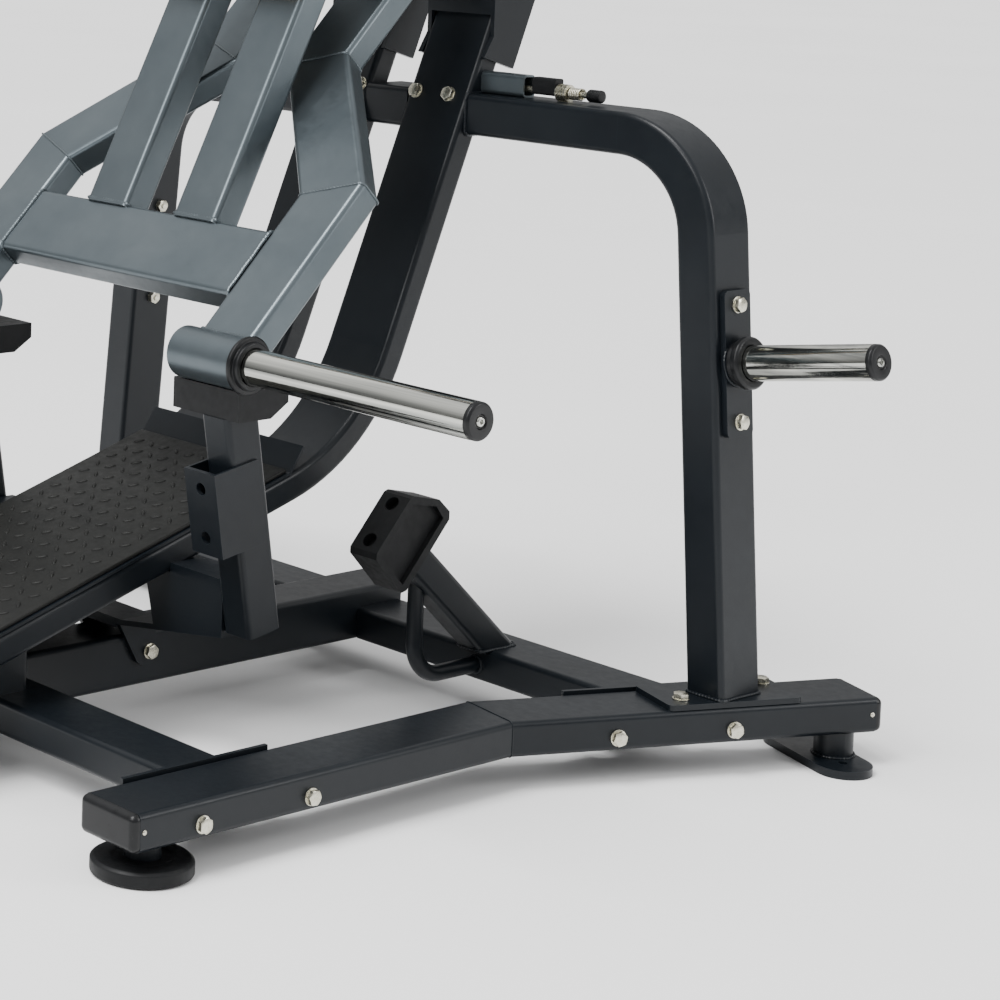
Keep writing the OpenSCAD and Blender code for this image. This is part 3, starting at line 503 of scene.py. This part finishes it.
# ---------------------------------------------------------------- bolts
def bolt(shape, place, stack, nut, spin):
    """Washer, chamfered head, shank, and a nut with the bolt's end showing."""
    place = place @ turn(spin, "Z")
    shape.add(lathe(soften([(0, 0), (0.0118, 0), (0.0118, 0.0016), (0, 0.0016)], 0.0004, 2), 40), place)
    shape.add(hex_head(0.019, 0.0072), place @ move(z=0.0016))
    end = stack + (0.009 if nut else 0.0)
    shape.add(lathe([(0, -end), (0.0042, -end), (0.005, -end + 0.001), (0.005, 0), (0, 0)], 24), place)
    if nut:
        shape.add(hex_head(0.019, 0.009), place @ move(z=-stack) @ turn(180, "X"))
        tip = [(0, -0.012), (0.0038, -0.012), (0.0048, -0.011), (0.0048, 0), (0, 0)]
        shape.add(lathe([(r, z - stack) for r, z in tip], 24), place)


rail_bolts, post_bolts, tie_bolts = Shape(), Shape(), Shape()
spin = 7
for side in BOTH:
    for y in (-0.456, -0.269):
        spin += 23
        bolt(rail_bolts, side @ move(0.565, y, 0.067) @ ALONG_X, 0.110, True, spin)
    for a in (0.160, 0.340):
        spin += 23
        bolt(rail_bolts, side @ SPLAY @ move(0, a, 0.067) @ ALONG_X, 0.110, True, spin)
    for x, a in ((0.022, 0.272), (-0.024, 0.427)):
        spin += 23
        bolt(post_bolts, side @ SPLAY @ move(x - 0.052, a, 0.106), 0.016, False, spin)
    for z in (-0.082, 0.082):
        spin += 23
        bolt(post_bolts, side @ LEG @ move(0.008, 0, z) @ ALONG_X, 0.070, True, spin)
    for x in (0.0595, 0.1265):
        spin += 23
        face_y = 0.403 + 0.024 * math.tan(UP_LEAN)
        bolt(tie_bolts, side @ move(x, face_y, 0.907) @ turn(90 - 22.6, "X"), 0.042, True, spin)
bolt(rail_bolts, move(0.053, -0.096, 0.100) @ ALONG_X, 0.106, True, 15)
rail_bolts.make("rail_bolts_turned", ["zinc_steel"], "frame", ["rail_bolts"])
post_bolts.make("post_bolts_turned", ["zinc_steel"], "frame", ["post_bolts"])
tie_bolts.make("upright_bolts_turned", ["zinc_steel"], "frame", ["upright_bolts"])

# ---------------------------------------------------------------- rail end caps, with their rivets
caps = Shape()
RIVET = [(0, 0), (0.0034, 0), (0.0034, 0.0008), (0.0016, 0.0018), (0, 0.0018)]
for side in BOTH:
    for place in (move(0.513, -0.570, 0.073), SPLAY @ move(-0.052, 0.577, 0.073) @ turn(180, "Z")):
        caps.add(soft_box((0.1035, 0.034, 0.0495), 0.0095, 6), side @ place @ move(y=0.0172))
        outer = 1 if place[0][0] > 0 else -1
        rivet = lathe(soften(RIVET, 0.0008, 3), 24)
        caps.add(rivet, side @ place @ move(outer * 0.052, 0.0185, 0.002) @ turn(90 * outer, "Y"), 1)
caps.make("rail_end_caps_moulded", ["black_plastic", "zinc_steel"], "frame", ["rail_end_caps"])

# ---------------------------------------------------------------- front feet
feet = Shape()
FOOT = soften(
    [
        (0, 0), (0.061, 0), (0.066, 0.003), (0.066, 0.0185), (0.0615, 0.022),
        (0.040, 0.0225), (0.036, 0.0215), (0, 0.0215),
    ],
    0.0018,
)
for side in BOTH:
    feet.add(lathe(FOOT, 72), side @ move(0.513, -0.508))
feet.make("front_feet_moulded", ["black_rubber"], "frame", ["front_feet"])

# ---------------------------------------------------------------- horns' collars and end caps
storage_collars, arm_collars, storage_caps, arm_caps = Shape(), Shape(), Shape(), Shape()
HUB = soften([(0.0242, -0.002), (0.032, -0.002), (0.030, 0.010), (0.030, 0.012), (0.0242, 0.012)], 0.001)
DISC = soften(
    [
        (0.0242, 0.0115), (0.035, 0.0115), (0.037, 0.0135), (0.037, 0.021),
        (0.034, 0.024), (0.0262, 0.024), (0.0252, 0.023),
    ],
    0.0012,
)
STEPS = soften(
    [
        (0.0242, 0.0), (0.0385, 0.0), (0.040, 0.0015), (0.040, 0.0055), (0.0385, 0.007), (0.0335, 0.0072),
        (0.033, 0.0085), (0.033, 0.0135), (0.0315, 0.015), (0.0265, 0.015), (0.0252, 0.0142),
    ],
    0.0007,
)
CAP = soften(
    [
        (0.0235, -0.0005), (0.0247, 0.0), (0.0247, 0.0052), (0.0222, 0.0080),
        (0.0100, 0.0080), (0.0086, 0.0052), (0, 0.0052),
    ],
    0.0010,
)
SCREW = soften(
    [(0.0070, 0.0045), (0.0070, 0.0062), (0.0055, 0.0084), (0.0030, 0.0086), (0.0028, 0.0055), (0, 0.0055)],
    0.0005, 3,
)
for side in BOTH:
    storage_collars.add(lathe(HUB), side @ STORAGE).add(lathe(DISC), side @ STORAGE)
    arm_collars.add(lathe(STEPS, 72), side @ ARM @ move(0.348, -REACH) @ ALONG_X)
    at_storage = side @ STORAGE @ move(z=0.220)
    at_arm = side @ ARM @ move(0.755, -REACH) @ ALONG_X
    for shape, place in ((storage_caps, at_storage), (arm_caps, at_arm)):
        shape.add(lathe(CAP), place).add(lathe(SCREW, 32), place, 1)
storage_collars.make("storage_collars_turned", ["black_plastic"], "frame", ["storage_collars"])
arm_collars.make("arm_collars_turned", ["black_plastic"], "lever_arm", ["arm_collars"])
storage_caps.make("storage_horn_caps", ["black_plastic", "chrome_sleeve"], "frame", ["horn_end_caps"])
arm_caps.make("arm_horn_caps_turned", ["black_plastic", "chrome_sleeve"], "lever_arm", ["arm_horn_caps"])

# ---------------------------------------------------------------- tread mat
mat = Shape()
MAT_LEN = DECK_LEN - 0.008
mat.add(soft_box((0.319, MAT_LEN, 0.006), 0.0022, 3), DECK @ move(y=-DECK_LEN / 2, z=0.007))
LUG_L, LUG_W, LUG_H, PITCH = 0.0095, 0.0034, 0.0018, 0.0285


def lug():
    verts, faces = [], []
    for share, z in ((1.0, -0.0004), (0.86, 0.6 * LUG_H), (0.55, LUG_H)):
        for i in range(14):
            a = 2 * math.pi * i / 14
            verts.append((share * LUG_L * math.cos(a), share * LUG_W * math.sin(a), z))
    for k in (0, 14):
        for i in range(14):
            j = (i + 1) % 14
            faces.append((k + i, k + j, k + 14 + j, k + 14 + i))
    faces.append(tuple(range(28, 42)))
    return verts, faces


rows, columns = int(MAT_LEN / PITCH) - 1, 10
for row in range(rows):
    for column in range(columns):
        x = (column - (columns - 1) / 2) * PITCH
        y = -DECK_LEN / 2 + (row - (rows - 1) / 2) * PITCH
        lean = 45 if (row + column) % 2 else -45
        mat.add(lug(), DECK @ move(x, y, 0.010) @ turn(lean, "Z"))
mat.make("tread_mat_moulded", ["tread_rubber"], "frame", ["tread_mat"], 50)

# ---------------------------------------------------------------- spring pin
coil = [
    (0.0078 * math.cos(t * 2 * math.pi), 0.0078 * math.sin(t * 2 * math.pi), 0.327 + 0.021 * t / 6.5)
    for t in [i / 20 for i in range(131)]
]
Shape().add(sweep(coil, 0.0014, sides=10), PIN).make("pin_coil", ["zinc_steel"], "frame", ["pin_spring"])
pull = Shape()
pull.add(lathe([(0, 0.205), (0.005, 0.206), (0.005, 0.3615), (0, 0.3615)], 32), PIN)
KNOB = [(0, 0.361), (0.0075, 0.361), (0.0092, 0.3625)]
for i in range(5):
    z = 0.3635 + i * 0.004
    KNOB += [(0.0095, z), (0.0095, z + 0.0028), (0.0087, z + 0.0032), (0.0087, z + 0.0037)]
KNOB += [(0.0093, 0.3842), (0.0080, 0.3850), (0, 0.3850)]
pull.add(lathe(soften(KNOB, 0.0003, 2), 48), PIN, 1)
pull.make("pull_pin_turned", ["zinc_steel", "black_plastic"], "pull_pin", ["spring_pin"])

# ---------------------------------------------------------------- grips
grips = Shape()
GRIP = [(0.0142, 0.030), (0.0160, 0.030)]
for i in range(20):
    z = 0.034 + i * 0.0057
    GRIP += [(0.0170, z), (0.0170, z + 0.0036), (0.0160, z + 0.0042), (0.0160, z + 0.0052)]
GRIP += [(0.0165, 0.150), (0.0150, 0.154), (0, 0.154)]
HANDLE = BAR @ move(0.142, 0.025 - 0.260, 0.735 + 0.070 + 0.0003 + 0.015) @ ALONG_X
for side in BOTH:
    grips.add(lathe(soften(GRIP, 0.0005, 2), 48), side @ HANDLE)
grips.make("grips_ribbed", ["black_rubber"], "lever_arm", ["grips"])

# ---------------------------------------------------------------- weld beads
arm_welds, frame_welds = Shape(), Shape()
KNEE_TURN = math.atan2(0.302 - 0.103, 0.709 - 0.481)
ARM_LOOP_W = 0.100 / math.cos(KNEE_TURN / 2)
SOCKET_SEAM = 0.0277
HALF_SPLAY = math.radians(10.5)
for side in BOTH:
    for x, y in ((0.302, -0.709), (0.103, -0.481)):
        loop = rect_loop(ARM_LOOP_W + 0.0008, 0.0468, 0.008)
        place = ARM @ move(x, y) @ Matrix.Rotation(KNEE_TURN / 2, 4, "Z") @ turn(90, "X")
        arm_welds.add(bead(loop, 0.0017), side @ place)
    cross = ARM @ move(0.2522, -0.853) @ ALONG_X
    arm_welds.add(bead(rect_loop(0.0475, 0.1175, 0.009), 0.0030), side @ cross)
    foot = ARM @ move(0.0965, -0.795, 0.0) @ turn(90, "X")
    half_x, front, back = 0.045, 0.0245, -0.020
    line = [(half_x, back, 0), (half_x, front, 0.001), (half_x - 0.004, front + 0.002, 0.001)]
    line = [(-x, y, z) for x, y, z in line] + line[::-1]
    arm_welds.add(bead(line, 0.0026, False), side @ foot)
    for z in (0.0235, -0.0235):
        line = [(0.254, SOCKET_SEAM - REACH, z), (0.346, SOCKET_SEAM - REACH, z)]
        arm_welds.add(bead(line, 0.0028, False), side @ ARM)
    post = move(0.678 - math.tan(math.radians(4.8)) * 0.006 - 0.031, 0.452, 0.1072)
    post_loop = rect_loop(0.0635, 0.0875, 0.009)
    frame_welds.add(bead(post_loop, 0.0028), side @ post)
    frame_welds.add(bead(post_loop, 0.0026), side @ move(0.1645, 0.452, 0.880) @ ALONG_X)
    kink = move(0.513, 0.110 + 0.052 * math.tan(HALF_SPLAY), 0.073) @ turn(-10.5, "Z") @ turn(90, "X")
    kink_loop = rect_loop(0.104 / math.cos(HALF_SPLAY) + 0.0002, 0.0502, 0.008)
    frame_welds.add(bead(kink_loop, 0.0010), side @ kink)
    frame_welds.add(bead(ring_loop(0.0322, 0.0005), 0.0022), side @ STORAGE)
    tube_at = SPLAY @ move(-0.052 + 0.020, 0.508 + 0.012, 0.0125)
    frame_welds.add(bead(ring_loop(0.028), 0.0026), side @ tube_at)
frame_welds.add(bead(rect_loop(0.0515, 0.0760, 0.009), 0.0028), move(0.290, 0.3617, 0.0985))
frame_welds.add(bead(ring_loop(0.0125), 0.0024), move(0.290, 0.3385, 0.072) @ turn(90, "X"))
arm_welds.make("arm_weld_beads", ["arm_paint"], "lever_arm")
frame_welds.make("frame_weld_beads", ["frame_paint"], "frame")

# ---------------------------------------------------------------- rounded edges on plate-like CAD nodes
ROUNDED = {
    0.0010: (
        "front_cross_tube", "rear_cross_right", "rear_cross_left", "deck_plate", "platform_cross_tube",
        "platform_saddle", "bumper_brackets", "storage_plates", "pivot_bracket_right", "pivot_bracket_left",
        "rear_feet", "pivot_nuts", "pad_board", "pin_block",
    ),
    0.0035: ("bumper_rubbers", "rear_stop_block"),
}
for width, names in ROUNDED.items():
    for name in names:
        mod = NODES[name].modifiers.new("round_edges", "BEVEL")
        mod.width = width
        mod.segments = 3
        mod.limit_method = "ANGLE"
        mod.angle_limit = math.radians(30)
        mod.use_clamp_overlap = True


# ---------------------------------------------------------------- pads
def soft_pad(name, size, depth_crown, pull_in, cap):
    """Crowned pad whose sides pull in between its corners, puffed up by a cloth simulation.

    Z is the front. The back lies at minus half the depth and is held while the cloth swells.
    """
    w, h, t = size
    shape = Shape().add(soft_box((w, h, t), 0.40 * min(size), 6))
    mesh = bpy.data.meshes.new(name)
    mesh.from_pydata(shape.verts, [], shape.faces)
    obj = bpy.data.objects.new(name, mesh)
    bpy.context.scene.collection.objects.link(obj)
    remesh = obj.modifiers.new("remesh", "REMESH")
    remesh.mode = "VOXEL"
    remesh.voxel_size = 0.0055
    bake(obj)
    for v in obj.data.vertices:
        x, y, z = v.co
        u, s = min(1.0, abs(x) / (w / 2)), min(1.0, abs(y) / (h / 2))
        front = max(0.0, z / (t / 2))
        x *= 1 - pull_in / (w / 2) * (1 - s * s)
        y *= 1 - pull_in / (h / 2) * (1 - u * u)
        z += depth_crown * front * (1 - u**4) * (1 - s**4)
        v.co = (x, y, z)
    rest = np.empty(len(obj.data.vertices) * 3)
    obj.data.vertices.foreach_get("co", rest)
    rest = rest.reshape(-1, 3)
    back = obj.vertex_groups.new(name="back")
    back.add([i for i, p in enumerate(rest) if p[2] < -0.30 * t], 1.0, "REPLACE")
    cloth = obj.modifiers.new("cloth", "CLOTH")
    settings = cloth.settings
    settings.quality = 5
    settings.mass = 0.3
    settings.tension_stiffness = settings.compression_stiffness = 20
    settings.shear_stiffness = 12
    settings.bending_stiffness = 2
    settings.use_pressure = True
    settings.uniform_pressure_force = 4
    settings.vertex_group_mass = "back"
    settings.effector_weights.gravity = 0
    cloth.collision_settings.use_collision = False
    scene = bpy.context.scene
    cloth.point_cache.frame_start, cloth.point_cache.frame_end = 1, 20
    for step in range(1, 21):
        scene.frame_set(step)
    bake(obj)
    scene.frame_set(1)
    puffed = np.empty(len(obj.data.vertices) * 3)
    obj.data.vertices.foreach_get("co", puffed)
    puffed = puffed.reshape(-1, 3)
    shift = puffed - rest
    length = np.linalg.norm(shift, axis=1, keepdims=True)
    shift *= np.minimum(1.0, cap / np.maximum(length, 1e-9))
    obj.data.vertices.foreach_set("co", (rest + shift).ravel())
    smooth = obj.modifiers.new("smooth", "SMOOTH")
    smooth.iterations = 3
    fine = obj.modifiers.new("fine", "SUBSURF")
    fine.levels = fine.render_levels = 1
    bake(obj)
    return obj


def bake(obj):
    """Replaces the mesh with its evaluated shape and drops the modifiers."""
    graph = bpy.context.evaluated_depsgraph_get()
    graph.update()
    mesh = bpy.data.meshes.new_from_object(obj.evaluated_get(graph))
    obj.modifiers.clear()
    obj.data = mesh


def piping(obj, w, h, r, z, radius):
    """Welt cord laid on the pad's surface round its outline at one depth."""
    line = []
    for p in spaced(rect_loop(w, h, r), 0.004, True):
        _, spot, normal, _ = obj.closest_point_on_mesh(p + Vector((0, 0, z)))
        line.append(spot + normal * radius * 0.35)
    return sweep(line, radius, True, 10)


def dress(obj, cord_parts, place, body, nodes, copies=(Matrix(),)):
    """Puts the pad and its piping in place, once for each copy, as one piece."""
    shape = Shape()
    own = ([tuple(v.co) for v in obj.data.vertices], [tuple(p.vertices) for p in obj.data.polygons])
    for copy in copies:
        shape.add(own, copy @ place)
        for cord in cord_parts:
            shape.add(cord, copy @ place, 1)
    name = obj.name
    bpy.data.objects.remove(obj)
    done = shape.make(name + "_upholstered", ["pad_vinyl", "pad_vinyl"], body, nodes, 60)


PAD_T, BOARD_FACE = 0.062, -0.0153
pad = soft_pad("back_cushion", (0.298, 0.354, 0.050), 0.006, 0.004, 0.009)
cords = [piping(pad, 0.300, 0.356, 0.030, z, 0.0028) for z in (0.016, -0.020)]
PAD_AT = BAR @ move(0, BOARD_FACE - PAD_T / 2, 0.525) @ turn(90, "X") @ move(z=-0.0055)
dress(pad, cords, PAD_AT, "lever_arm", ["back_pad"])
pad = soft_pad("shoulder_cushion", (0.100, 0.060, 0.232), 0.0, 0.002, 0.006)
cords = [piping(pad, 0.104, 0.064, 0.024, z, 0.0024) for z in (0.096, -0.096)]
SHOULDER_AT = BAR @ move(0.125, -0.008 - 0.120, 0.735 + 0.035) @ turn(90, "X")
dress(pad, cords, SHOULDER_AT, "lever_arm", ["shoulder_pads"], BOTH)

# ---------------------------------------------------------------- stage, light and camera
def area(name, place, target, size, power, tint=(1, 1, 1)):
    data = bpy.data.lights.new(name, "AREA")
    data.shape = "RECTANGLE"
    data.size, data.size_y = size
    data.energy = power
    data.color = tint
    lamp = bpy.data.objects.new(name, data)
    lamp.location = place
    lamp.rotation_mode = "QUATERNION"
    lamp.rotation_quaternion = (Vector(target) - Vector(place)).to_track_quat("-Z", "Y")
    bpy.context.scene.collection.objects.link(lamp)


def sun(name, toward, strength, softness):
    data = bpy.data.lights.new(name, "SUN")
    data.energy = strength
    data.angle = math.radians(softness)
    lamp = bpy.data.objects.new(name, data)
    lamp.rotation_mode = "QUATERNION"
    lamp.rotation_quaternion = Vector(toward).to_track_quat("-Z", "Y")
    bpy.context.scene.collection.objects.link(lamp)


def floor():
    mesh = bpy.data.meshes.new("studio_floor")
    r = 150.0
    mesh.from_pydata([(-r, -r, 0), (r, -r, 0), (r, r, 0), (-r, r, 0)], [], [(0, 1, 2, 3)])
    obj = bpy.data.objects.new("studio_floor", mesh)
    bpy.context.scene.collection.objects.link(obj)
    g = Graph("studio_floor")
    g.color(g.noise(0.6, 2), (0.92, 0.92, 0.92), (0.95, 0.95, 0.95))
    g.set(Roughness=0.8, Specular_IOR_Level=0.1)
    paint(obj, g.mat)


def studio_sky():
    """Bright overhead and dim at the horizon, as in a studio with a ceiling of soft boxes."""
    world = bpy.data.worlds.new("studio")
    world.use_nodes = True
    tree = world.node_tree
    back = tree.nodes["Background"]
    coord = tree.nodes.new("ShaderNodeTexCoord")
    split = tree.nodes.new("ShaderNodeSeparateXYZ")
    ramp = tree.nodes.new("ShaderNodeMapRange")
    ramp.inputs["From Min"].default_value = 0.0
    ramp.inputs["From Max"].default_value = 0.75
    ramp.inputs["To Min"].default_value = 0.16
    ramp.inputs["To Max"].default_value = 1.15
    tree.links.new(coord.outputs["Generated"], split.inputs[0])
    tree.links.new(split.outputs["Z"], ramp.inputs["Value"])
    tree.links.new(ramp.outputs["Result"], back.inputs["Strength"])
    back.inputs["Color"].default_value = (1, 1, 1, 1)
    bpy.context.scene.world = world


floor()
studio_sky()
sun("ceiling", (0.10, 0.45, -1.0), 3.1, 28)
area("key", (0.6, -3.6, 3.2), (0.1, 0, 0.7), (1.6, 1.2), 90)
area("edge", (3.6, 2.2, 2.2), (0.2, 0.1, 0.6), (0.8, 2.2), 60)

# The camera looks 54.3 degrees round from the front and a little down.
# The frame is the lower right part of its view, so it is shifted.
cam_data = bpy.data.cameras.new("camera")
cam_data.sensor_width = 36
cam_data.lens = 99.51
cam_data.shift_x = 0.6237
cam_data.shift_y = -0.4141
cam_data.clip_end = 100
camera = bpy.data.objects.new("camera", cam_data)
heading, down, roll = math.radians(54.324), math.radians(5.114), math.radians(1.183)
ahead = Vector((-math.sin(heading) * math.cos(down), math.cos(heading) * math.cos(down), -math.sin(down)))
right = Vector((math.cos(heading), math.sin(heading), 0))
upward = right.cross(ahead)
across = right * math.cos(roll) + upward * math.sin(roll)
upright = upward * math.cos(roll) - right * math.sin(roll)
axes = Matrix((across, upright, -ahead)).transposed().to_4x4()
camera.matrix_world = move(3.0294, -2.7474, 1.2779) @ axes
bpy.context.scene.collection.objects.link(camera)
bpy.context.scene.camera = camera
